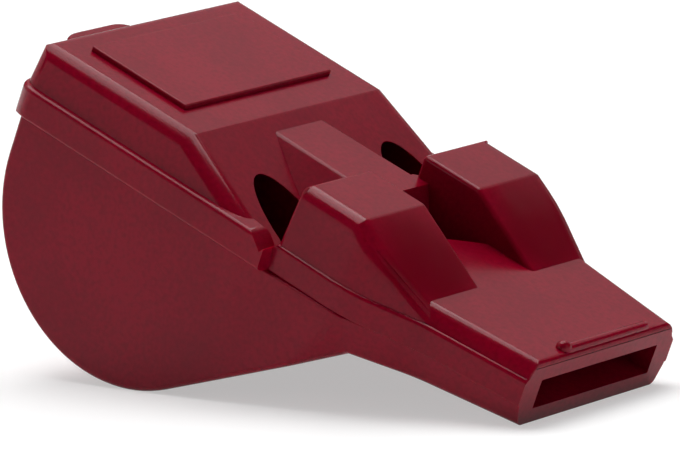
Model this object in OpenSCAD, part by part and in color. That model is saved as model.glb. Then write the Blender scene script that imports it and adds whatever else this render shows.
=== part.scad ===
// Pealess sports whistle: two plastic mouldings welded along a seam, with a wind-way insert between them.
// It is drawn with the flat deck level and its front crease at x = 0, the mouthpiece towards +x.
// At the end it is tipped forward to rest on its round chamber and the lower lip of its mouthpiece.

/* [Deck and slope] */
// Length of the flat deck from its back edge to the front crease
deck_length = 15.05; // [14.8:0.05:15.6]
// Half width of the deck at its own level
deck_half_width = 11.78; // [11.58:0.05:11.88]
// Lean of the upper side walls away from upright, in degrees
side_lean = 14; // [12:0.5:15]
// Fall of the slope in front of the deck, in degrees
slope_fall = 23.3; // [22.5:0.1:24]
// Rounding of the side edges of the deck and slope and of the upright back corners
deck_rounding = 1.5; // [0.8:0.1:1.6]
// Rounding of the deck's back edge
back_rounding = 1; // [0.5:0.1:1.4]
// Rounding of the front crease
crease_rounding = 1; // [0.5:0.1:2]
// Thickness of the roof under the ridge
roof_wall = 1.5; // [1.2:0.1:1.7]

/* [Raised plate] */
// Length of the bare raised plate
plate_length = 9.45; // [8:0.05:9.6]
// Half width of the raised plate
plate_half_width = 8.75; // [7:0.05:9.5]
// Height of the raised plate above the deck
plate_height = 0.4; // [0.2:0.05:0.8]
// Deck left bare between the plate and the front crease
plate_margin = 3.05; // [2.5:0.05:4]
// Rounding of the plate corners in plan
plate_corner = 0.15; // [0.1:0.05:1]

/* [Ridge and windows] */
// Depth of the level ridge top below the deck
ridge_drop = 0.55; // [0.4:0.05:0.7]
// Half width of the ridge top
ridge_half_width = 2.9; // [2.7:0.05:3.1]
// Distance of the front end of the ridge from the crease
ridge_end = 11.5; // [11:0.1:12]
// Reach of the sloping nose in front of the ridge
nose_reach = 1.5; // [1.2:0.1:2]
// Depth of the nose edge below the deck
nose_drop = 4; // [3.6:0.1:4.2]
// Distance of a side window's middle line from the middle of the whistle
window_offset = 7.65; // [7.5:0.05:7.75]
// Radius of the round-topped side chamber roof that opens as a window in the slope
window_radius = 2.55; // [2.4:0.05:2.6]
// Depth of the round roof's axis below the deck
window_axis_drop = 4.33; // [4.2:0.01:4.45]
// Distance of the bottom of the side notch from the crease
notch_reach = 9.7; // [9.4:0.1:9.8]

/* [Blocks] */
// Distance of the back of the two blocks from the crease
block_back = 10.3; // [10.2:0.1:10.6]
// Distance of the front of the block tops from the crease
block_top_front = 15.7; // [15:0.1:16.5]
// Distance of the foot of the block fronts from the crease
block_front = 22.25; // [21.8:0.05:22.6]
// Height of the block tops above the deck
block_rise = 1.25; // [1:0.05:1.6]
// Lean of the blocks' side walls away from upright, in degrees
block_lean = 9; // [7:0.5:12]
// Rounding of the outer edges of the blocks
block_rounding = 0.6; // [0.4:0.1:1]
// Half width of the channel between the blocks
channel_half_width = 3.2; // [3.1:0.05:3.4]
// Distance of the pointed back of the channel floor from the crease
tongue_point = 15.95; // [15.5:0.05:16.3]
// How far the channel floor falls back from its point towards each block
tongue_sweep = 2; // [1.5:0.1:2.4]

/* [Mouthpiece] */
// Distance of the mouth end from the crease
mouth_reach = 31.9; // [30.5:0.1:33]
// Depth of the mouthpiece top below the deck
mouth_drop = 2.15; // [2:0.05:2.3]
// Depth of the mouthpiece's lower edge below the deck, at the mouth end
mouth_foot_drop = 7.3; // [7.2:0.05:7.6]
// Half width of the mouth end at the ledge
mouth_half_width = 9; // [8.8:0.05:9.4]
// Rounding of the long top edges of the mouthpiece
mouth_rounding = 1.2; // [0.6:0.1:1.4]
// Rounding of the top edge of the mouth end
lip_rounding = 0.5; // [0.3:0.1:0.7]
// Half width of the opening at the mouth end
opening_half_width = 6.95; // [6.6:0.05:7.1]
// Depth of the opening's roof below the deck
opening_roof_drop = 3.75; // [3.7:0.05:3.85]
// Depth of the opening's floor below the deck
opening_floor_drop = 6.1; // [6:0.05:6.15]
// Half length of the bite bead across the mouthpiece top
bead_half_length = 5.2; // [3:0.1:6]
// Thickness of the bite bead
bead_width = 0.7; // [0.6:0.1:1.4]
// Distance of the bite bead from the mouth end
bead_setback = 0.6; // [0.5:0.1:2]

/* [Seam band] */
// Depth of the top of the band below the deck
band_drop = 3.1; // [3.05:0.05:3.3]
// Depth of the front ledge below the deck
ledge_drop = 3.4; // [3.3:0.05:3.5]
// Depth of the joint between the mouldings below the deck
joint_drop = 5.55; // [5.4:0.05:5.6]
// Half width over the band
band_half_width = 13.2; // [13.1:0.05:13.5]
// How far the band stands out behind the back wall
band_back_step = 0.15; // [0.1:0.05:0.3]
// Rounding of the band's back corners
band_corner = 1.9; // [1.6:0.1:2]
// Distance from the crease at which the wide part of the band ends
band_end = 10; // [9.9:0.05:10.15]
// Distance from the crease at which the level top of the band ends
band_top_end = 8.5; // [8:0.1:8.8]
// Width of the band's lips beside the slope
band_lip = 2; // [1.9:0.05:2.2]

/* [Side outline] */
// Half width of the ledge beside the blocks
ledge_half_width = 12.25; // [12.2:0.05:12.4]
// Distance of the shoulder bend from the crease
shoulder_reach = 17.6; // [17:0.1:18.2]
// Distance of the waist bend from the crease
waist_reach = 23; // [22.6:0.1:23.6]
// Half width of the ledge at the waist bend
waist_half_width = 10.35; // [10.2:0.05:10.5]
// Radius of the shoulder and waist bends
bend_radius = 12; // [8:0.5:14]
// Width of the ledge
ledge_width = 0.3; // [0.25:0.05:0.4]
// Distance from the crease at which the chamber sides start to narrow
narrowing_start = 8; // [7:0.1:9]
// Distance from the crease at which the leaning sides of the mouthpiece start
keel_start = 14; // [12.5:0.1:15]
// Lean of the lower mouthpiece sides away from upright, in degrees
keel_lean = 20; // [16:1:22]

/* [Chamber] */
// Outside radius of the round chamber
chamber_radius = 12.1; // [12:0.05:12.2]
// Depth of the chamber's axis below the deck
chamber_axis_drop = 8.8; // [8.7:0.05:8.9]
// Half width of the chamber over its flat sides
chamber_half_width = 12.7; // [12.6:0.05:12.8]
// How far the chamber's back lies in front of the deck's back edge
chamber_back_step = 0.85; // [0.8:0.05:0.95]
// Distance of the knee under the mouthpiece from the crease
knee_reach = 18; // [17.8:0.1:18.4]
// Depth of the knee below the deck
knee_drop = 8.6; // [8.5:0.05:8.8]
// Wall thickness of the lower moulding
wall = 1.5; // [1.3:0.05:1.6]
// Half width of the middle chamber
middle_half_width = 3.9; // [3.8:0.05:4]
// Thickness of the partitions between the chambers
partition = 1.2; // [1.1:0.05:1.3]
// Depth of the locating tongue below the joint
tongue_depth = 1.5; // [1:0.1:2]
// Gap between pieces that fit into each other
seat_gap = 0.1; // [0.05:0.05:0.15]

/* [Wind-way insert] */
// Thickness of the insert's floor plate
floor_plate = 1.1; // [1:0.05:1.15]
// Length of the insert in front of the blocks' back walls
insert_length = 10.6; // [10.1:0.1:10.7]
// Height of the slot through which the wind leaves each side wind-way
slot_height = 1.1; // [0.9:0.1:1.3]
// Depth of the side wind-ways' roof below the deck
side_roof_drop = 1.9; // [1.85:0.05:2]
// Length of the level end of a side wind-way
side_level = 3.9; // [3:0.1:5]
// Length of the level end of the middle wind-way
middle_level = 1.1; // [0.8:0.1:2]
// Length of the partitions' noses in front of the insert
nose_length = 3; // [2:0.1:4]

/* [Lanyard lug] */
// Reach of the lug behind the deck's back edge
lug_reach = 3.85; // [3.65:0.05:4.5]
// Half width of the lug
lug_half_width = 4.2; // [3.6:0.1:5]
// Rounding of the lug's corners
lug_corner = 2; // [1:0.1:2.2]
// Depth of the lug's top below the deck
lug_drop = 2.8; // [2:0.05:3]
// Diameter of the lanyard hole
lanyard_hole = 2; // [1.6:0.1:2.2]
// Thickness of the lug behind the lanyard hole
lug_web = 1.2; // [1:0.1:1.4]

/* [Part] */
// Piece to draw, or all of them

/* [Hidden] */
// Extra reach of every cut past the faces it opens
overrun = 1;
// Larger than half of the whistle in any direction, for the pieces of ground work
beyond = 60;
$fn = 96;
bend_steps = 8;
chamber_centre = [chamber_radius + chamber_back_step - deck_length, -chamber_axis_drop];
notch_bottom = [notch_reach, -notch_reach * tan(slope_fall)];
facet_run = (block_front - block_top_front) / (mouth_drop + block_rise);
facet_at_shoulder = [shoulder_reach, block_rise - (shoulder_reach - block_top_front) / facet_run];
knee = [knee_reach, -knee_drop];
mouth_foot = [mouth_reach, -mouth_foot_drop];
cavity_radius = chamber_radius - wall;
cavity_back = wall + chamber_back_step - deck_length;
cavity_half_width = chamber_half_width - wall;
partition_outer = middle_half_width + partition;
window_outer = window_offset + window_radius;
tongue_half_width = cavity_half_width - seat_gap;
// Tangent from the knee to the round of the chamber
knee_run = knee - chamber_centre;
tangent_angle = atan2(knee_run[1], knee_run[0]) - acos(chamber_radius / norm(knee_run));
tangent_way = [cos(tangent_angle), sin(tangent_angle)];
facet_way = [-tangent_way[1], tangent_way[0]];
plate_floor = -opening_floor_drop - floor_plate;
cavity_tangent = chamber_centre + cavity_radius * tangent_way;
cavity_front = cavity_tangent[0] + facet_way[0] * (plate_floor - cavity_tangent[1]) / facet_way[1];
insert_back = block_back + seat_gap;
insert_front = block_back + insert_length;
// Resting on the chamber and the mouth's lower edge gives the tilt and the drop to the ground
rest_run = mouth_foot - chamber_centre;
rest_tilt = asin(chamber_radius / norm(rest_run)) + atan2(rest_run[1], rest_run[0]);
function tipped_x(p) = p[0] * cos(rest_tilt) + p[1] * sin(rest_tilt);
function tipped_z(p) = p[1] * cos(rest_tilt) - p[0] * sin(rest_tilt);
ground = tipped_z(chamber_centre) - chamber_radius;
rear_limit = tipped_x([-deck_length - lug_reach, -joint_drop]);
front_limit = tipped_x([mouth_reach - lip_rounding, -mouth_drop - lip_rounding]) + lip_rounding;

// Level inside the band down to which the upper bodies reach
body_foot = ledge_drop + ledge_width;

// Place on the blocks' slanted fronts, seen from the side, at a level
function facet_place(level) = [block_top_front + (block_rise - level) * facet_run, level];

// Outlines with rounded bends
function along(v) = v / norm(v);
function bend(a, b, c, r) =
  let (u = along(a - b), w = along(c - b), half = acos(u * w) / 2, middle = b + along(u + w) * r / sin(half))
  [for (i = [0:bend_steps]) let (s = i / bend_steps, reach = r / tan(half))
    middle + r * along((b + u * reach - middle) * (1 - s) + (b + w * reach - middle) * s)];
function bent(points, radii) =
  [for (i = [0:len(points) - 1])
    let (n = len(points), a = points[(i + n - 1) % n], c = points[(i + 1) % n])
    each (radii[i] > 0 ? bend(a, points[i], c, radii[i]) : [points[i]])];

// One edge of an outline, whose first and last points stay as they are
function bent_edge(points, radii) =
  [for (i = [0:len(points) - 1])
    each (radii[i] > 0 ? bend(points[i - 1], points[i], points[i + 1], radii[i]) : [points[i]])];
function both_edges(points) =
  concat(points, [for (i = [len(points) - 1:-1:0]) [points[i][0], -points[i][1]]]);

// Plan lines of the upper side walls at the ledge: beside the deck, then from the blocks to the waist and mouth
rear_half_width = deck_half_width + ledge_drop * tan(side_lean);
block_half_width = ledge_half_width - ledge_width;
rear_wall = [[-deck_length, rear_half_width], [notch_reach, rear_half_width]];
block_wall = [[block_back, block_half_width], [shoulder_reach, block_half_width]];
shoulder_wall = [block_wall[1], [waist_reach, waist_half_width - ledge_width]];
mouth_wall = [shoulder_wall[1], [mouth_reach + overrun, mouth_half_width - ledge_width]];
band_side = [
  [shoulder_reach, ledge_half_width],
  [waist_reach, waist_half_width],
  [mouth_reach + overrun, mouth_half_width]
];

// Tips a piece from its drawing position to its resting one
module standing() {
  translate([-(rear_limit + front_limit) / 2, 0, -ground])
    rotate([0, rest_tilt, 0])
      children();
}

module side_to_side(half_width) {
  rotate([90, 0, 0])
    linear_extrude(2 * half_width, center = true)
      children();
}

module both_sides() {
  children();
  mirror([0, 1, 0])
    children();
}

module upright(top, bottom) {
  translate([0, 0, bottom])
    linear_extrude(top - bottom)
      children();
}

module bar(from, to, half_width) {
  translate([from[0], -half_width, from[1]])
    cube([to[0] - from[0], 2 * half_width, to[1] - from[1]]);
}

module rear_profile() {
  polygon(bent(
    [[-deck_length, -body_foot], [-deck_length, 0], [0, 0], notch_bottom],
    [0, back_rounding, crease_rounding, 0]
  ));
}

module block_profile() {
  polygon(bent(
    [
      [block_back, -body_foot],
      [block_back, block_rise],
      [block_top_front, block_rise],
      facet_place(-body_foot)
    ],
    [0, 0, block_rounding, 0]
  ));
}

module mouth_profile() {
  mouth_body_foot = ledge_drop + ledge_width / 2;
  polygon(bent(
    [
      [block_top_front, -mouth_body_foot],
      [block_top_front, -mouth_drop],
      [mouth_reach, -mouth_drop],
      [mouth_reach, -mouth_body_foot]
    ],
    [0, 0, lip_rounding, 0]
  ));
}

// Everything to one side of an outline whose walls lean, with the outline itself at the given level
module leaning_side(outline, level, lean) {
  translate([0, 0, level])
    rotate([lean, 0, 0])
      linear_extrude(2 * beyond, center = true)
        polygon([for (p = outline) [p[0], p[1] * cos(lean)]]);
}

// What lies between two leaning side walls that stand on a plan line and its mirror image
module between_walls(line, radii, lean = side_lean) {
  first = line[0];
  last = line[len(line) - 1];
  outline = bent(
    concat([[first[0], -beyond]], line, [[last[0], -beyond]]),
    concat([0], radii, [0])
  );
  intersection() {
    leaning_side(outline, -ledge_drop, lean);
    mirror([0, 1, 0])
      leaning_side(outline, -ledge_drop, lean);
  }
}

// Outward direction of the leaning wall on a plan line, and the wall's point at a place in the side view
function wall_way(line, lean) =
  let (n = along([(line[0][1] - line[1][1]) * cos(lean), line[1][0] - line[0][0]]))
  [n[0], n[1] * cos(lean), n[1] * sin(lean)];
function on_wall(line, place, lean) =
  let (n = wall_way(line, lean))
  [place[0], line[0][1] - (n[0] * (place[0] - line[0][0]) + n[2] * (place[1] + ledge_drop)) / n[1], place[1]];

// Takes the corner off a straight edge between two faces, given by their outward directions
module softened_edge(from, to, first_face, second_face, radius) {
  way = along(to - from);
  yaw = atan2(way[1], way[0]);
  level = [-sin(yaw), cos(yaw), 0];
  rise = cross(way, level);
  slant = first_face * second_face;
  first_arm = first_face * slant - second_face;
  second_arm = second_face * slant - first_face;
  first_end = [first_arm * level, first_arm * rise];
  second_end = [second_arm * level, second_arm * rise];
  translate(from - overrun * way)
    rotate([0, -asin(way[2]), yaw])
      rotate([90, 0, 90])
        linear_extrude(norm(to - from) + 2 * overrun)
          polygon(concat(
            [-(along(first_end) + along(second_end)) * radius],
            bend(first_end, [0, 0], second_end, radius)
          ));
}

// The same along the top of a side wall, between two places in the side view
module softened_top(line, from, to, radius, lean = side_lean) {
  top_way = along([from[1] - to[1], 0, to[0] - from[0]]);
  softened_edge(on_wall(line, from, lean), on_wall(line, to, lean), top_way, wall_way(line, lean), radius);
}

// The same along the upright back corners beside the deck
module softened_back(radius) {
  foot = on_wall(rear_wall, [-deck_length, -body_foot], side_lean);
  top = on_wall(rear_wall, [-deck_length, 0], side_lean);
  softened_edge(foot, top, [-1, 0, 0], wall_way(rear_wall, side_lean), radius);
}

module rear_body() {
  difference() {
    intersection() {
      side_to_side(beyond)
        rear_profile();
      between_walls([[-beyond, rear_half_width], [beyond, rear_half_width]], [0, 0]);
    }
    both_sides() {
      softened_back(deck_rounding);
      softened_top(rear_wall, [-deck_length, 0], [0, 0], deck_rounding);
      softened_top(rear_wall, [0, 0], notch_bottom, deck_rounding);
    }
  }
}

module block_body() {
  facet_top = [block_top_front, block_rise];
  shoulder = block_wall[1];
  waist = shoulder_wall[1];
  difference() {
    intersection() {
      side_to_side(beyond)
        block_profile();
      between_walls(
        [[-beyond, block_half_width], shoulder, waist, waist + (waist - shoulder)],
        [0, bend_radius, 0, 0],
        block_lean
      );
    }
    both_sides() {
      softened_top(block_wall, [block_back, block_rise], facet_top, block_rounding, block_lean);
      softened_top(block_wall, facet_top, facet_at_shoulder, block_rounding, block_lean);
      softened_top(shoulder_wall, facet_at_shoulder, facet_place(-ledge_drop), block_rounding, block_lean);
    }
  }
}

module mouth_body() {
  inner_end = on_wall(mouth_wall, [block_top_front - overrun, -ledge_drop], side_lean);
  difference() {
    intersection() {
      side_to_side(beyond)
        mouth_profile();
      between_walls([inner_end, mouth_wall[1]], [0, 0]);
    }
    both_sides()
      softened_top(mouth_wall, [block_top_front, -mouth_drop], [mouth_reach, -mouth_drop], mouth_rounding);
  }
}

module band_outline() {
  back = -deck_length - band_back_step;
  polygon(both_edges(bent_edge(
    concat(
      [[back, 0], [back, band_half_width], [band_end, band_half_width], [block_back, ledge_half_width]],
      band_side
    ),
    [0, band_corner, 0, 0, bend_radius, bend_radius, 0]
  )));
}

module raised_plate() {
  front = -plate_margin;
  back = front - plate_length;
  side = plate_half_width;
  translate([0, 0, -plate_height])
    linear_extrude(2 * plate_height)
      polygon(bent(
        [[back, -side], [back, side], [front, side], [front, -side]],
        [plate_corner, plate_corner, plate_corner, plate_corner]
      ));
}

module ridge() {
  foot = partition_outer;
  flare = foot - ridge_half_width;
  top = -ridge_drop;
  rotate([90, 0, 90])
    linear_extrude(ridge_end)
      polygon([
        [-ridge_half_width, top],
        [ridge_half_width, top],
        [foot, top - flare],
        [foot, -joint_drop],
        [-foot, -joint_drop],
        [-foot, top - flare]
      ]);
}

module nose() {
  side_to_side(channel_half_width)
    polygon([
      [ridge_end, -ridge_drop],
      [ridge_end + nose_reach, -nose_drop],
      [ridge_end - nose_reach, -ridge_drop - roof_wall],
      [ridge_end - nose_reach, -ridge_drop]
    ]);
}

module bite_bead() {
  place = mouth_reach - bead_setback;
  translate([place, 0, -mouth_drop])
    rotate([90, 0, 0])
      cylinder(h = 2 * bead_half_length, d = bead_width, center = true);
}

module lug() {
  front = -deck_length;
  back = front - lug_reach;
  side = lug_half_width;
  upright(-lug_drop, -joint_drop)
    difference() {
      polygon(bent(
        [[back, -side], [back, side], [front, side], [front, -side]],
        [lug_corner, lug_corner, 0, 0]
      ));
      translate([back + lug_web + lanyard_hole / 2, 0])
        circle(d = lanyard_hole);
    }
}

// The flat band round the seam, cut down to the slope, to the notches beside it and to the front ledge
module band() {
  open_front = [[block_back, -ledge_drop], [mouth_reach + overrun, -ledge_drop], [mouth_reach + overrun, 0]];
  difference() {
    upright(-band_drop, -joint_drop)
      intersection() {
        band_outline();
        translate([-beyond, -beyond])
          square([beyond + mouth_reach, 2 * beyond]);
      }
    side_to_side(beyond)
      polygon(concat([[band_top_end, 0], [band_top_end, -band_drop], notch_bottom], open_front));
    side_to_side(band_half_width - band_lip)
      polygon(concat([[0, 0], notch_bottom], open_front));
  }
}

module upper_body() {
  rear_body();
  block_body();
  mouth_body();
  band();
  raised_plate();
  bite_bead();
  lug();
}

module wind_way_outline() {
  polygon(both_edges([
    [block_back - overrun, window_outer],
    [shoulder_reach, window_outer],
    [waist_reach, waist_half_width - wall - ledge_width],
    [mouth_reach + overrun, opening_half_width]
  ]));
}

module side_tunnel() {
  foot = joint_drop + tongue_depth + overrun;
  translate([cavity_back, window_offset, -window_axis_drop])
    rotate([0, 90, 0])
      cylinder(h = block_back - cavity_back, r = window_radius);
  translate([cavity_back, window_offset - window_radius, -foot])
    cube([block_back - cavity_back, 2 * window_radius, foot - window_axis_drop]);
}

module side_wind_way() {
  intersection() {
    upright(0, -joint_drop - overrun)
      wind_way_outline();
    translate([0, partition_outer + beyond, 0])
      side_to_side(beyond)
        polygon([
          [block_back - overrun, -joint_drop - overrun],
          [block_back - overrun, -side_roof_drop],
          [shoulder_reach, -side_roof_drop],
          [block_front, -opening_roof_drop],
          [insert_front + nose_length + overrun, -opening_roof_drop],
          [insert_front + nose_length + overrun, -joint_drop - overrun]
        ]);
  }
}

module middle_chamber_roof() {
  top = -ridge_drop - roof_wall;
  top_half_width = middle_half_width - roof_wall;
  nose_edge = ridge_end + nose_reach;
  intersection() {
    translate([cavity_back, 0, 0])
      rotate([90, 0, 90])
        linear_extrude(nose_edge - cavity_back)
          polygon([
            [-top_half_width, top],
            [top_half_width, top],
            [middle_half_width, top - roof_wall],
            [middle_half_width, -joint_drop - overrun],
            [-middle_half_width, -joint_drop - overrun],
            [-middle_half_width, top - roof_wall]
          ]);
    side_to_side(middle_half_width)
      polygon([
        [cavity_back, top],
        [ridge_end - nose_reach, top],
        [nose_edge, -nose_drop],
        [nose_edge, -joint_drop - overrun],
        [cavity_back, -joint_drop - overrun]
      ]);
  }
  bar(
    [nose_edge - seat_gap, -joint_drop - overrun],
    [insert_front + nose_length, -opening_roof_drop],
    middle_half_width
  );
}

module mouth_hollow() {
  intersection() {
    upright(-opening_roof_drop, -joint_drop - overrun)
      wind_way_outline();
    bar([insert_front + nose_length, -joint_drop - overrun], [mouth_reach + overrun, 0], beyond);
  }
}

module tongues() {
  depth = joint_drop + tongue_depth;
  length = narrowing_start - cavity_back - 2 * seat_gap;
  both_sides()
    translate([cavity_back + seat_gap, window_outer, -depth])
      cube([length, tongue_half_width - window_outer, depth - window_axis_drop]);
}

module upper_moulding() {
  color("darkred") standing()
    difference() {
      union() {
        difference() {
          upper_body();
          bar([block_back - overrun, -mouth_drop], [block_front, block_rise + overrun], channel_half_width);
          upright(block_rise, -joint_drop - overrun)
            polygon([
              [ridge_end - overrun, -channel_half_width],
              [ridge_end - overrun, channel_half_width],
              [tongue_point + tongue_sweep, channel_half_width],
              [tongue_point, 0],
              [tongue_point + tongue_sweep, -channel_half_width]
            ]);
          both_sides()
            side_tunnel();
          both_sides()
            side_wind_way();
          mouth_hollow();
        }
        ridge();
        nose();
        tongues();
      }
      middle_chamber_roof();
    }
}

module lower_profile() {
  back = chamber_back_step - deck_length;
  intersection() {
    union() {
      translate(chamber_centre)
        circle(r = chamber_radius);
      polygon([
        [back, -joint_drop],
        [back, -chamber_axis_drop],
        chamber_centre,
        chamber_centre + chamber_radius * tangent_way,
        knee,
        mouth_foot,
        [mouth_reach, -joint_drop]
      ]);
    }
    translate([-beyond, -beyond - joint_drop])
      square([2 * beyond, beyond]);
  }
}

module lower_sides() {
  upright(-joint_drop, -beyond)
    polygon(both_edges(bent_edge(
      concat([[-beyond, chamber_half_width], [narrowing_start, chamber_half_width]], band_side),
      [0, bend_radius, bend_radius, bend_radius, 0]
    )));
}

module keel_sides() {
  step = ledge_width / 2;
  facet_drop = knee_drop - joint_drop + (knee_reach - keel_start) * facet_way[1] / facet_way[0];
  outline = bent(
    [
      [keel_start - beyond, -beyond],
      [keel_start - beyond, chamber_half_width + beyond],
      [keel_start, chamber_half_width + facet_drop * tan(keel_lean)],
      [shoulder_reach, ledge_half_width - step],
      [waist_reach, waist_half_width - step],
      [mouth_reach + overrun, mouth_half_width - step],
      [mouth_reach + overrun, -beyond]
    ],
    [0, 0, 0, 0, bend_radius, 0, 0]
  );
  intersection() {
    leaning_side(outline, -joint_drop, -keel_lean);
    mirror([0, 1, 0])
      leaning_side(outline, -joint_drop, -keel_lean);
  }
}

module cavity_profile() {
  translate(chamber_centre)
    circle(r = cavity_radius);
  polygon([
    [cavity_back, 0],
    [cavity_back, -chamber_axis_drop],
    chamber_centre,
    cavity_tangent,
    [cavity_front, plate_floor],
    [cavity_front, 0]
  ]);
}

// Inside of the chamber walls in plan, or the insert that drops between them with the gap taken off
module inside_outline(back, gap) {
  polygon(both_edges([
    [back, cavity_half_width - gap],
    [narrowing_start, cavity_half_width - gap],
    [shoulder_reach, window_outer - gap],
    [waist_reach, waist_half_width - wall - ledge_width - gap]
  ]));
}

module chambers() {
  intersection() {
    side_to_side(beyond)
      cavity_profile();
    upright(overrun - joint_drop, -beyond)
      inside_outline(cavity_back, 0);
    difference() {
      bar([-beyond, -beyond], [beyond, beyond], beyond);
      both_sides()
        translate([-beyond, middle_half_width, -beyond])
          cube([2 * beyond, partition, 2 * beyond]);
    }
  }
}

module insert_seat() {
  intersection() {
    bar([block_back, plate_floor], [insert_front + seat_gap, 0], beyond);
    upright(0, plate_floor)
      inside_outline(cavity_back, 0);
  }
}

module mouth_floor() {
  difference() {
    intersection() {
      upright(0, -opening_floor_drop)
        wind_way_outline();
      bar([insert_front, -beyond], [mouth_reach + overrun, 0], beyond);
    }
    both_sides()
      translate([insert_front, middle_half_width, -beyond])
        cube([nose_length, partition, beyond]);
  }
}

module lower_moulding() {
  color("firebrick") standing()
    difference() {
      intersection() {
        side_to_side(beyond)
          lower_profile();
        lower_sides();
        keel_sides();
      }
      chambers();
      insert_seat();
      mouth_floor();
    }
}

module wind_way_ramp(back, top_drop, level_length) {
  polygon([
    [back, plate_floor],
    [back, -top_drop],
    [back + level_length, -top_drop],
    [insert_front, -opening_floor_drop],
    [insert_front, plate_floor]
  ]);
}

module wind_way_insert() {
  color("brown") standing()
    intersection() {
      upright(0, plate_floor)
        inside_outline(cavity_back, seat_gap);
      union() {
        difference() {
          bar([insert_back, plate_floor], [insert_front, -opening_floor_drop], beyond);
          bar([insert_back - overrun, plate_floor - overrun], [tongue_point, 0], middle_half_width);
        }
        both_sides()
          translate([insert_back, middle_half_width, plate_floor])
            cube([insert_front - insert_back, partition, -joint_drop - plate_floor]);
        both_sides()
          translate([0, window_offset, 0])
            side_to_side(window_radius - seat_gap)
              wind_way_ramp(insert_back, side_roof_drop + slot_height, side_level);
        side_to_side(middle_half_width - seat_gap)
          wind_way_ramp(tongue_point, opening_roof_drop + slot_height, middle_level);
      }
    }
}

upper_moulding();
lower_moulding();
wind_way_insert();
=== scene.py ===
import math

import bmesh
import bpy
from mathutils import Matrix, Vector


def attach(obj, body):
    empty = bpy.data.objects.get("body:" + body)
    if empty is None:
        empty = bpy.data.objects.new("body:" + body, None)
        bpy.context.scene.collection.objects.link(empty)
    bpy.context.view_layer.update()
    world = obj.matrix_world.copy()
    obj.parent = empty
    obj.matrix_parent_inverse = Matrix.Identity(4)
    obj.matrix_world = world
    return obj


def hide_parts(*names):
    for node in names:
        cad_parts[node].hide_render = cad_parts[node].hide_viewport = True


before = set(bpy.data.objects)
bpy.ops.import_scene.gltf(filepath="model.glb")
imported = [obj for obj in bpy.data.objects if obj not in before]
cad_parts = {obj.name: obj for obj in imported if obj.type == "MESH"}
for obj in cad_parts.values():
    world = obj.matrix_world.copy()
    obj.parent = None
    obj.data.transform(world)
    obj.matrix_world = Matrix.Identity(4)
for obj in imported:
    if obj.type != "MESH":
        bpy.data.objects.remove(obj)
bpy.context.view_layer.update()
mm = 0.001
print("frame loaded:", sorted(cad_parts))


def fromHex(code):
    # sRGB hex to the linear colour that the shader wants
    def linear(part):
        return part / 12.92 if part <= 0.04045 else ((part + 0.055) / 1.055) ** 2.4
    return tuple(linear(int(code[i:i + 2], 16) / 255) for i in (1, 3, 5)) + (1.0,)


def newObject(name, data):
    thing = bpy.data.objects.new(name, data)
    bpy.context.scene.collection.objects.link(thing)
    return thing


# The camera stands where the photograph was taken from
cameraSetup = {
    "place": (327.764, -421.605, 111.530),  # mm
    "aim": (0.380, -0.375, 10.460),         # mm
    "roll": -1.722,                         # degrees, the photo is tipped a little
    "lens": 390.53,                         # mm
    "clip": (10, 20000),                    # mm
}


def makeCamera(setup):
    data = bpy.data.cameras.new("camera")
    data.lens = setup["lens"]
    data.clip_start, data.clip_end = (reach * mm for reach in setup["clip"])
    camera = newObject("camera", data)
    place, aim = Vector(setup["place"]) * mm, Vector(setup["aim"]) * mm
    turn = (aim - place).to_track_quat("-Z", "Y").to_matrix().to_4x4()
    roll = Matrix.Rotation(math.radians(setup["roll"]), 4, "Z")
    camera.matrix_world = Matrix.Translation(place) @ turn @ roll
    bpy.context.scene.camera = camera


makeCamera(cameraSetup)
print("camera placed")

# The whistle rests tipped forward, and its edges are easier to name in the frame of its level deck
resting = {"tilt": 23.352447, "shift": (-4.3628417, 0, 19.3467278)}  # degrees, mm


def onDeck(point):
    # mm, with the deck level at z 0 and its front crease at x 0
    lean = math.radians(resting["tilt"])
    x, y, z = Vector(point) / mm - Vector(resting["shift"])
    return x * math.cos(lean) - z * math.sin(lean), y, x * math.sin(lean) + z * math.cos(lean)


def offDeck(point):
    lean = math.radians(resting["tilt"])
    x, y, z = point
    along = x * math.cos(lean) + z * math.sin(lean)
    upward = z * math.cos(lean) - x * math.sin(lean)
    return (Vector((along, y, upward)) + Vector(resting["shift"])) * mm


def turned(direction):
    # a direction of the level deck, as the whistle rests
    return offDeck(direction) - offDeck((0, 0, 0))


def inBoxes(point, boxes):
    # boxes are (x, y, z) ranges on the level deck, the same for both signs of y
    x, y, z = onDeck(point)
    places = (x, abs(y), z)
    return any(all(low <= at <= high for at, (low, high) in zip(places, box)) for box in boxes)


def addNode(tree, kind, settings=None, feeds=None):
    # one node, its settings by property or socket, and what feeds its sockets
    node = tree.nodes.new(kind)
    for key, value in (settings or {}).items():
        if isinstance(key, int) or key in node.inputs:
            node.inputs[key].default_value = value
        else:
            setattr(node, key, value)
    for key, source in (feeds or {}).items():
        tree.links.new(source, node.inputs[key])
    return node


def newMaterial(name):
    material = bpy.data.materials.new(name)
    material.use_nodes = True
    material.node_tree.nodes.clear()
    return material, material.node_tree


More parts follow.
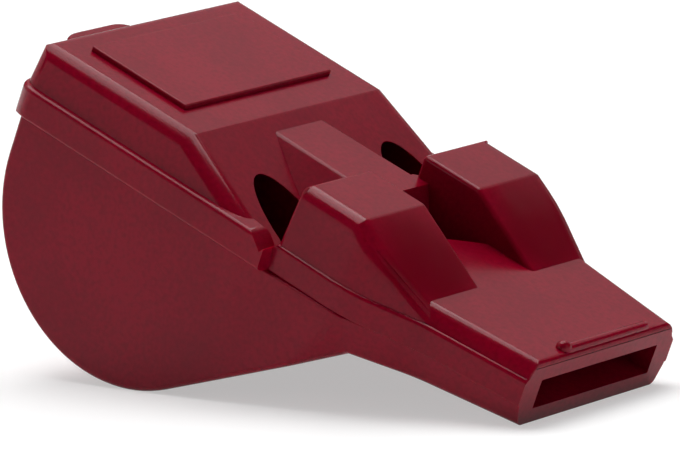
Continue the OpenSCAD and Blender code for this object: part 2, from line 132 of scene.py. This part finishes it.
plastic = {
    "colour": "#84021F",
    "deepColour": "#73011A",         # where the melt met the mould cooler
    "deepToPlain": (0.1, 0.36),      # clouds times grain, from all deep to all plain
    "paintedShadeColour": "#6A0115",        # painted shade: a darker red laid on the blocks' fronts, standing in for the shade they are in
    "paintedShadePlace": (19.4, 6.9, 1.2),  # mm on the level deck, over a block's front, for both signs of y
    "paintedShadeReach": (4.6, 5.4, 3.4),   # mm
    "paintedShadeFade": (1.0, 0.45),        # shares of that reach between which the painted shade sets in
    "clouds": (7, 3),                # mm and detail, slow clouds of colour
    "grain": (0.35, 1),              # pigment grain, drawn coarser than it is
    "haze": (2.6, 5),                # patches polished by handling
    "hazeRange": (0.3, 0.7),         # the part of the noise that turns into roughness
    "roughness": 0.19,
    "roughnessSpread": 0.07,
    "ripple": (3.5, 1),              # sink and flow ripple left by the mould
    "rippleHeight": 0.006,           # mm
    "skin": (0.12, 2),               # the fine skin that scatters a highlight
    "skinHeight": 0.0006,            # mm
    "refraction": 1.5,
    "gloss": 0.15,                   # the pigmented skin reflects less than clear plastic
    "glow": 0.3,                     # light soaks in a little and reddens thin walls and edges
    "glowReach": (0.9, 0.12, 0.1),   # mm, for each colour
}


def noiseOf(tree, where, size, detail):
    settings = {"Scale": 1 / (size * mm), "Detail": detail}
    return addNode(tree, "ShaderNodeTexNoise", settings, {"Vector": where}).outputs[0]


def paintedShadeShare(tree, where, setup):
    # the share of painted shade: 1 in the middle of a block's front and 0 beyond its reach, measured in the
    # deck's frame
    level = addNode(tree, "ShaderNodeMapping", {
        "Location": Vector(onDeck((0, 0, 0))) * mm,
        "Rotation": (0, -math.radians(resting["tilt"]), 0),
    }, {"Vector": where})
    folded = addNode(tree, "ShaderNodeVectorMath", {"operation": "ABSOLUTE"}, {0: level.outputs[0]})
    middle, reach = Vector(setup["paintedShadePlace"]) * mm, Vector(setup["paintedShadeReach"]) * mm
    away = addNode(tree, "ShaderNodeVectorMath", {"operation": "SUBTRACT", 1: middle},
                   {0: folded.outputs[0]})
    shares = addNode(tree, "ShaderNodeVectorMath", {"operation": "DIVIDE", 1: reach},
                     {0: away.outputs[0]})
    length = addNode(tree, "ShaderNodeVectorMath", {"operation": "LENGTH"}, {0: shares.outputs[0]})
    outer, inner = setup["paintedShadeFade"]
    share = addNode(tree, "ShaderNodeMapRange", {
        "interpolation_type": "SMOOTHSTEP", "From Min": outer, "From Max": inner,
    }, {"Value": length.outputs["Value"]})
    return share.outputs[0]


def mouldedPlastic(name, setup):
    # Injection-moulded ABS: the polished steel mould leaves it glossy,
    # with a faint ripple where the melt cooled
    material, tree = newMaterial(name)
    where = addNode(tree, "ShaderNodeTexCoord").outputs["Object"]
    clouds, grain, haze, ripple, skin = (
        noiseOf(tree, where, *setup[part]) for part in ("clouds", "grain", "haze", "ripple", "skin")
    )
    blend = addNode(tree, "ShaderNodeMath", {"operation": "MULTIPLY"}, {0: clouds, 1: grain})
    colour = addNode(tree, "ShaderNodeValToRGB", feeds={"Fac": blend.outputs[0]})
    stops = zip(colour.color_ramp.elements, setup["deepToPlain"], (setup["deepColour"], setup["colour"]))
    for stop, position, code in stops:
        stop.position = position
        stop.color = fromHex(code)
    # the colour sockets of a mix node are its seventh and eighth
    # painted shade: the blocks' fronts get a darker red mixed into the colour, standing in for shade
    paintedShadeMix = addNode(tree, "ShaderNodeMix", {"data_type": "RGBA", 7: fromHex(setup["paintedShadeColour"])},
                    {0: paintedShadeShare(tree, where, setup), 6: colour.outputs[0]})
    hazeLow, hazeHigh = setup["hazeRange"]
    rough = addNode(tree, "ShaderNodeMapRange", {
        "From Min": hazeLow, "From Max": hazeHigh,
        "To Min": setup["roughness"] - setup["roughnessSpread"] / 2,
        "To Max": setup["roughness"] + setup["roughnessSpread"] / 2,
    }, {"Value": haze})
    wave = addNode(tree, "ShaderNodeBump", {"Distance": setup["rippleHeight"] * mm}, {"Height": ripple})
    fine = addNode(tree, "ShaderNodeBump", {"Distance": setup["skinHeight"] * mm},
                   {"Height": skin, "Normal": wave.outputs[0]})
    shader = addNode(tree, "ShaderNodeBsdfPrincipled", {
        "IOR": setup["refraction"], "Specular IOR Level": setup["gloss"],
        "Subsurface Weight": setup["glow"], "Subsurface Radius": setup["glowReach"], "Subsurface Scale": mm,
    }, {"Base Color": paintedShadeMix.outputs[2], "Roughness": rough.outputs[0], "Normal": fine.outputs[0]})
    addNode(tree, "ShaderNodeOutputMaterial", feeds={"Surface": shader.outputs["BSDF"]})
    return material


upperPlastic = mouldedPlastic("mouldedAbsUpper", plastic)
lowerPlastic = mouldedPlastic("mouldedAbsLower", plastic)
insertPlastic = mouldedPlastic("mouldedAbsInsert", plastic)
print("materials made")

# How the meshes are read: mm and degrees
meshSetup = {
    "merge": 0.0005,  # points this near are one
    "flat": 0.3,      # faces that meet flatter than this are one
    "smooth": 20,     # edges flatter than this are shaded smooth
    "sharp": 36,      # edges sharper than this can be rounded
    "cut": 0.002,     # points this near a cut lie on it
}


def nodeCopy(nodeName, pieceName):
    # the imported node's mesh is loose triangles, so the copy is merged first
    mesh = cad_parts[nodeName].data.copy()
    mesh.name = pieceName
    piece = newObject(pieceName, mesh)
    shape = bmesh.new()
    shape.from_mesh(mesh)
    bmesh.ops.remove_doubles(shape, verts=shape.verts, dist=meshSetup["merge"] * mm)
    bmesh.ops.dissolve_limit(shape, angle_limit=math.radians(meshSetup["flat"]),
                             verts=shape.verts, edges=shape.edges)
    return piece, shape


def softenEdges(shape, edges, segments=5):
    # rounds the sharp outer edges that lie whole in the boxes given with each width
    for name, (width, boxes) in edges.items():
        picked = []
        for edge in shape.edges:
            outer = edge.is_manifold and edge.is_convex
            if not outer or edge.calc_face_angle(0) < math.radians(meshSetup["sharp"]):
                continue
            first, last = (vert.co for vert in edge.verts)
            if all(inBoxes(point, boxes) for point in (first, last, (first + last) / 2)):
                picked.append(edge)
        before = len(shape.faces)
        bmesh.ops.bevel(shape, geom=picked, offset=width * mm, offset_type="OFFSET", affect="EDGES",
                        segments=segments, profile=0.5, material=-1, clamp_overlap=False, loop_slide=True)
        print("softened", name, len(picked), "edges,", len(shape.faces) - before, "new faces")


def facesToward(face, way, within):
    # no face without a facing of its own is taken
    return face.normal.angle(way, math.pi) < math.radians(within)


def cutFaces(shape, chosen, point, across):
    faces = chosen()
    parts = set(faces)
    for face in faces:
        parts.update(face.edges)
        parts.update(face.verts)
    bmesh.ops.bisect_plane(shape, geom=list(parts), dist=meshSetup["cut"] * mm,
                           plane_co=point, plane_no=across)


def finishPiece(piece, shape, material, nodeName):
    for edge in shape.edges:
        edge.smooth = edge.is_manifold and edge.calc_face_angle(0) < math.radians(meshSetup["smooth"])
    for face in shape.faces:
        face.smooth = True
    shape.to_mesh(piece.data)
    shape.free()
    piece.data.materials.clear()
    piece.data.materials.append(material)
    for face in piece.data.polygons:
        face.material_index = 0
    weighted = piece.modifiers.new("weighted", "WEIGHTED_NORMAL")
    weighted.keep_sharp = True
    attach(piece, "root")
    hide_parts(nodeName)
    print(piece.name, len(piece.data.polygons), "faces")


# Upper moulding: a width in mm for each kind of edge, and the boxes where it runs
upperEdges = {
    "blocks": (0.35, [
        ((10.2, 22.35), (3.1, 3.3), (-2.25, 1.35)),
        ((10.2, 10.4), (3.1, 12.1), (-1.8, 1.35)),
        ((10.2, 10.4), (11.0, 12.1), (-3.45, 1.35)),
    ]),
    "ridge": (0.22, [((1.1, 11.7), (0, 3.0), (-0.6, -0.5))]),
    "plate": (0.12, [((-13, -2.5), (0, 9.2), (0.35, 0.45))]),
    "lug": (0.35, [((-19, -15.0), (0, 4.3), (-5.6, -2.7))]),
    "band top": (0.38, [((-15.4, 10.4), (0, 13.3), (-3.15, -3.05))]),
    "ledge": (0.32, [((10.2, 31.95), (8.5, 12.4), (-3.45, -3.35))]),
    "band foot": (0.3, [
        ((-15.4, 10.4), (12.9, 13.3), (-5.6, -5.5)),
        ((-15.4, -15.0), (0, 13.3), (-5.6, -5.5)),
    ]),
    "seam": (0.14, [((10.1, 31.95), (8.5, 12.4), (-5.6, -5.5))]),
    "windows": (0.1, [((1.5, 9.8), (5.0, 10.3), (-4.3, -0.6))]),
    "mouth": (0.14, [((31.8, 32.0), (0, 9.1), (-5.5, -2.0))]),
}

upper, upperShape = nodeCopy("upper_moulding", "upperMoulding")
softenEdges(upperShape, upperEdges)

# The blocks' outer edges are widely rounded: mm on the level deck, and degrees
roundSetup = {
    "radius": 1.35,
    "box": ((10.5, 22.3), (3.0, 12.6), (-3.35, 1.3)),
    "shares": (0.03, 0.1, 0.2, 0.32, 0.46, 0.62, 0.8, 1.0),  # of the radius, where the faces are cut
    "topFront": (15.7, 0, 1.25),       # where the top turns down to the front
    "frontFacing": (0.461, 0, 0.888),
    "topWithin": 12,                   # a top faces up or to the front within this
    "turnOver": 0.5,                   # over which the top's facing turns into the front's
    "sideLean": 9,
    "leanWithin": 2.5,
    "sideShare": 0.8,                  # the least share of a side's facing that points sideways
    "sideFrom": 8,                     # beyond the channel's walls
    "shortest": 0.8,                   # shorter lengths of a side belong to a bend and aren't cut along
}


def roundSide(shape, sign, setup):
    # draws the edges between a leaning side, bent in plan, and the tops beside it in to one wide round
    radius = setup["radius"]
    upward = turned((0, 0, 1)).normalized()
    sideward = turned((0, sign, 0)).normalized()
    tops = [upward, turned(setup["frontFacing"]).normalized()]
    topFront = offDeck(setup["topFront"])
    rise = math.tan(math.radians(setup["sideLean"]))

    def inBox():
        return [face for face in shape.faces if inBoxes(face.calc_center_median(), [setup["box"]])]

    def isSide(face):
        if face.normal.dot(sideward) <= setup["sideShare"]:
            return False
        lean = math.degrees(math.asin(face.normal.dot(upward)))
        beyond = face.calc_center_median().y * sign > setup["sideFrom"] * mm
        return beyond and abs(lean - setup["sideLean"]) < setup["leanWithin"]

    def isTop(face):
        facing = any(facesToward(face, top, setup["topWithin"]) for top in tops)
        return facing and face.calc_center_median().y * sign > 0

    def sideFaces():
        return [face for face in inBox() if isSide(face)]

    def topFaces():
        return [face for face in inBox() if isTop(face)]

    # the side's half width at deck level, along the whistle
    widths = {}
    for vert in {vert for face in sideFaces() for vert in face.verts}:
        x, y, z = onDeck(vert.co)
        if y * sign > setup["sideFrom"]:
            widths[round(x, 2)] = max(widths.get(round(x, 2), 0), abs(y) + rise * z)
    line = sorted(widths.items())
    lengths = list(zip(line, line[1:]))

    def sideAt(x):
        # the half width there and how fast it grows; past the last point the last length goes on
        (x0, w0), (x1, w1) = next((ends for ends in lengths if x <= ends[1][0]), lengths[-1])
        bend = (w1 - w0) / (x1 - x0)
        return w0 + bend * (x - x0), bend

    def sideFacing(bend):
        return turned((-bend, sign, rise)).normalized()

    for (x0, w0), (x1, w1) in lengths:
        if x1 - x0 > setup["shortest"]:
            facing = sideFacing((w1 - w0) / (x1 - x0))
            for share in setup["shares"]:
                corner = offDeck((x0, sign * w0, 0))
                cutFaces(shape, topFaces, corner - facing * radius * share * mm, facing)
    for share in setup["shares"]:
        for top in tops:
            cutFaces(shape, sideFaces, topFront - top * radius * share * mm, top)

    # a point nearer than the radius to both a top and the side moves onto the round
    for vert in {vert for face in inBox() for vert in face.verts}:
        if vert.co.y * sign <= setup["sideFrom"] * mm:
            continue
        x, y, z = onDeck(vert.co)
        width, bend = sideAt(x)
        side = sideFacing(bend)
        sideDepth = (width - abs(y) - rise * z) / math.sqrt(1 + bend ** 2 + rise ** 2)
        depths = [(topFront - vert.co).dot(top) / mm for top in tops]
        topDepth = min(depths)
        blend = min(1, max(0, 0.5 + (depths[1] - depths[0]) / setup["turnOver"]))
        top = (tops[0] * blend + tops[1] * (1 - blend)).normalized()
        both = top.dot(side)
        topShare = (radius - topDepth - both * (radius - sideDepth)) / (1 - both ** 2)
        sideShare = (radius - sideDepth - both * (radius - topDepth)) / (1 - both ** 2)
        reach = top * topShare + side * sideShare
        if topShare > 0 and sideShare > 0 and reach.length > radius:
            vert.co += reach * (radius / reach.length - 1) * mm
    print("rounded block side", sign, "along", len(lengths), "lengths")


for side in (-1, 1):
    roundSide(upperShape, side, roundSetup)

# A moulded wall is never quite flat, and the blocks' fronts swell a little:
# mm on the level deck, and degrees
swellSetup = {
    "height": 0.21,
    "facing": roundSetup["frontFacing"],
    "facingWithin": 5,
    "box": ((15.7, 22.3), (3.2, 9.6), (-2.3, 1.3)),
    "along": (15.75, 21.9),        # where the swell starts and ends
    "across": (3.5, 9.2),
    "cutsAlong": (16.1, 21.9, 9),  # first cut, last cut and how many
    "cutsAcross": (3.5, 9.2, 8),
}


def steps(low, high, count):
    return [low + (high - low) * i / (count - 1) for i in range(count)]


def swellFronts(shape, setup):
    # cuts the front faces whose middle lies in the box, and pushes their inner points out
    way = turned(setup["facing"]).normalized()

    def fronts():
        facing = [face for face in shape.faces if facesToward(face, way, setup["facingWithin"])]
        return [face for face in facing if inBoxes(face.calc_center_median(), [setup["box"]])]

    def share(at, low, high):
        return max(0, 1 - ((2 * at - low - high) / (high - low)) ** 2)

    for place in steps(*setup["cutsAlong"]):
        cutFaces(shape, fronts, offDeck((place, 0, 0)), turned((1, 0, 0)))
    first, last, count = setup["cutsAcross"]
    for place in steps(first, last, count) + steps(-last, -first, count):
        cutFaces(shape, fronts, offDeck((0, place, 0)), turned((0, 1, 0)))
    faces = fronts()
    for vert in {vert for face in faces for vert in face.verts}:
        x, y, z = onDeck(vert.co)
        height = setup["height"] * share(x, *setup["along"]) * share(abs(y), *setup["across"])
        vert.co += way * height * mm
    print("swelled the block fronts,", len(faces), "faces")


swellFronts(upperShape, swellSetup)

# The moulded bead's near end is drawn in, to lie inside the fuller bead made below: mm on the level deck
drawnIn = {"box": ((30.9, 31.7), (5.1, 5.3), (-2.2, -1.7)), "by": 1.0}

for vert in upperShape.verts:
    if vert.co.y < 0 and inBoxes(vert.co, [drawnIn["box"]]):
        vert.co.y += drawnIn["by"] * mm
finishPiece(upper, upperShape, upperPlastic, "upper_moulding")

# Lower moulding: the flat sides' rims are the softest edges of the whistle
lowerEdges = {
    "rims": (0.4, [
        ((-15, 12), (12.6, 12.8), (-21.2, -5.6)),
        ((8, 33), (7.5, 12.8), (-21.2, -5.6)),
        ((-14.3, -14.1), (12.6, 12.8), (-21.2, -5.5)),
    ]),
    "seam": (0.12, [((-15, 32), (8.5, 12.8), (-5.6, -5.5))]),
}

lower, lowerShape = nodeCopy("lower_moulding", "lowerMoulding")
softenEdges(lowerShape, lowerEdges)
finishPiece(lower, lowerShape, lowerPlastic, "lower_moulding")

# The bead that the teeth hold, with the round end where the plastic was let into the mould:
# mm on the level deck
beadSetup = {
    "bar": {"start": (31.24, -4.1, -2.22), "end": (31.24, 5.4, -2.22), "radius": 0.43},
    "end": {"start": (31.05, -4.2, -2.15), "end": (31.05, -4.15, -2.15), "radius": 0.58},
}


def makeBead(name, setup, around=32, along=16):
    # a ball drawn out to a rod with round ends
    start, end = Vector(setup["start"]), Vector(setup["end"])
    shape = bmesh.new()
    bmesh.ops.create_uvsphere(shape, u_segments=around, v_segments=along, radius=setup["radius"] * mm)
    for vert in shape.verts:
        vert.co.z += (end - start).length * mm if vert.co.z > 0 else 0
    turn = turned(end - start).to_track_quat("Z", "X").to_matrix()
    bmesh.ops.rotate(shape, verts=shape.verts, cent=(0, 0, 0), matrix=turn)
    bmesh.ops.translate(shape, verts=shape.verts, vec=offDeck(start))
    for face in shape.faces:
        face.smooth = True
    mesh = bpy.data.meshes.new(name)
    shape.to_mesh(mesh)
    shape.free()
    mesh.materials.append(upperPlastic)
    piece = newObject(name, mesh)
    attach(piece, "root")


for beadPart, beadSize in beadSetup.items():
    makeBead("biteBead" + beadPart.capitalize(), beadSize)
print("bead made")

insertEdges = {"insert": (0.06, [((0, 32), (0, 13), (-8, 0))])}

insert, insertShape = nodeCopy("wind_way_insert", "windWayInsert")
softenEdges(insertShape, insertEdges, segments=2)
finishPiece(insert, insertShape, insertPlastic, "wind_way_insert")

# A round sheet of white paper with a low rim, so that a level view meets no dark edge
floorSetup = {
    "radius": 3000,             # mm
    "rim": 300,                 # mm
    "sides": 128,
    "colour": "#F7F7F7",
    "seenGain": 0.56,           # how pale the paper is to the camera and in reflections
    "seenGlow": 0.45,           # the white added there, which keeps the shadow pale
    "shadeRange": (500, 1100),  # mm from the whistle, between these the paper turns plain white
}

# Soft boxes: the way from the whistle to each, its distance and size in mm and its power in watts
lampSetup = {
    "backBox": {"aim": (-0.2859, 0.7332, 0.6157), "distance": 700, "size": (830, 500), "power": 0.85},
    "topBox": {"aim": (-0.2, 0.17, 0.96), "distance": 700, "size": (640, 560), "power": 5.9},
    "nearBox": {"aim": (-0.45, -0.80, 0.25), "distance": 800, "size": (500, 300), "power": 0.5},
    "leftBox": {"aim": (-0.85, -0.25, 0.45), "distance": 700, "size": (700, 700), "power": 1.3},
    "rightBox": {"aim": (0.93, 0.1, 0.35), "distance": 700, "size": (600, 600), "power": 0.65},
}
worldSetup = {"colour": "#FFFFFF", "strength": 0.03}


def whitePaper(name, setup):
    # Uncoated paper: matt and even, so the whistle's soft shadow is all that shows on it
    material, tree = newMaterial(name)
    gain = setup["seenGain"]
    near, far = setup["shadeRange"]
    paper = addNode(tree, "ShaderNodeBsdfDiffuse", {"Color": fromHex(setup["colour"])})
    lit = addNode(tree, "ShaderNodeBsdfDiffuse", {"Color": (gain, gain, gain, 1)})
    glow = addNode(tree, "ShaderNodeEmission", {"Strength": setup["seenGlow"]})
    bright = addNode(tree, "ShaderNodeAddShader", feeds={0: lit.outputs[0], 1: glow.outputs[0]})
    white = addNode(tree, "ShaderNodeEmission", {"Strength": 1.0})
    where = addNode(tree, "ShaderNodeTexCoord").outputs["Object"]
    reach = addNode(tree, "ShaderNodeVectorMath", {"operation": "LENGTH"}, {0: where})
    fade = addNode(tree, "ShaderNodeMapRange", {
        "interpolation_type": "SMOOTHSTEP", "From Min": near * mm, "From Max": far * mm,
    }, {"Value": reach.outputs["Value"]})
    seen = addNode(tree, "ShaderNodeMixShader",
                   feeds={0: fade.outputs[0], 1: bright.outputs[0], 2: white.outputs[0]})
    path = addNode(tree, "ShaderNodeLightPath")
    chosen = path.outputs["Is Camera Ray"]
    for kind in ("Is Glossy Ray", "Is Transmission Ray"):
        chosen = addNode(tree, "ShaderNodeMath", {"operation": "MAXIMUM"},
                         {0: chosen, 1: path.outputs[kind]}).outputs[0]
    mixed = addNode(tree, "ShaderNodeMixShader", feeds={0: chosen, 1: paper.outputs[0], 2: seen.outputs[0]})
    addNode(tree, "ShaderNodeOutputMaterial", feeds={"Surface": mixed.outputs[0]})
    return material


def makeFloor(setup):
    shape = bmesh.new()
    bmesh.ops.create_circle(shape, cap_ends=True, segments=setup["sides"], radius=setup["radius"] * mm)
    outline = [edge for edge in shape.edges if edge.is_boundary]
    raised = bmesh.ops.extrude_edge_only(shape, edges=outline)["geom"]
    bmesh.ops.translate(shape, vec=(0, 0, setup["rim"] * mm),
                        verts=[part for part in raised if isinstance(part, bmesh.types.BMVert)])
    mesh = bpy.data.meshes.new("floor")
    shape.to_mesh(mesh)
    shape.free()
    mesh.materials.append(whitePaper("floorPaper", setup))
    floor = newObject("floor", mesh)


def makeLamp(name, setup):
    data = bpy.data.lights.new(name, "AREA")
    data.shape = "RECTANGLE"
    data.size, data.size_y = (side * mm for side in setup["size"])
    data.energy = setup["power"]
    lamp = newObject(name, data)
    way = Vector(setup["aim"]).normalized()
    lamp.location = way * setup["distance"] * mm
    lamp.rotation_euler = way.to_track_quat("Z", "Y").to_euler()


def makeWorld(setup):
    world = bpy.data.worlds.new("studio")
    bpy.context.scene.world = world
    world.use_nodes = True
    world.node_tree.nodes.clear()
    light = addNode(world.node_tree, "ShaderNodeBackground",
                    {"Color": fromHex(setup["colour"]), "Strength": setup["strength"]})
    addNode(world.node_tree, "ShaderNodeOutputWorld", feeds={"Surface": light.outputs[0]})


makeFloor(floorSetup)
for lampName, lampSettings in lampSetup.items():
    makeLamp(lampName, lampSettings)
makeWorld(worldSetup)
bpy.context.scene.view_settings.view_transform = "Standard"
print("floor and light made")
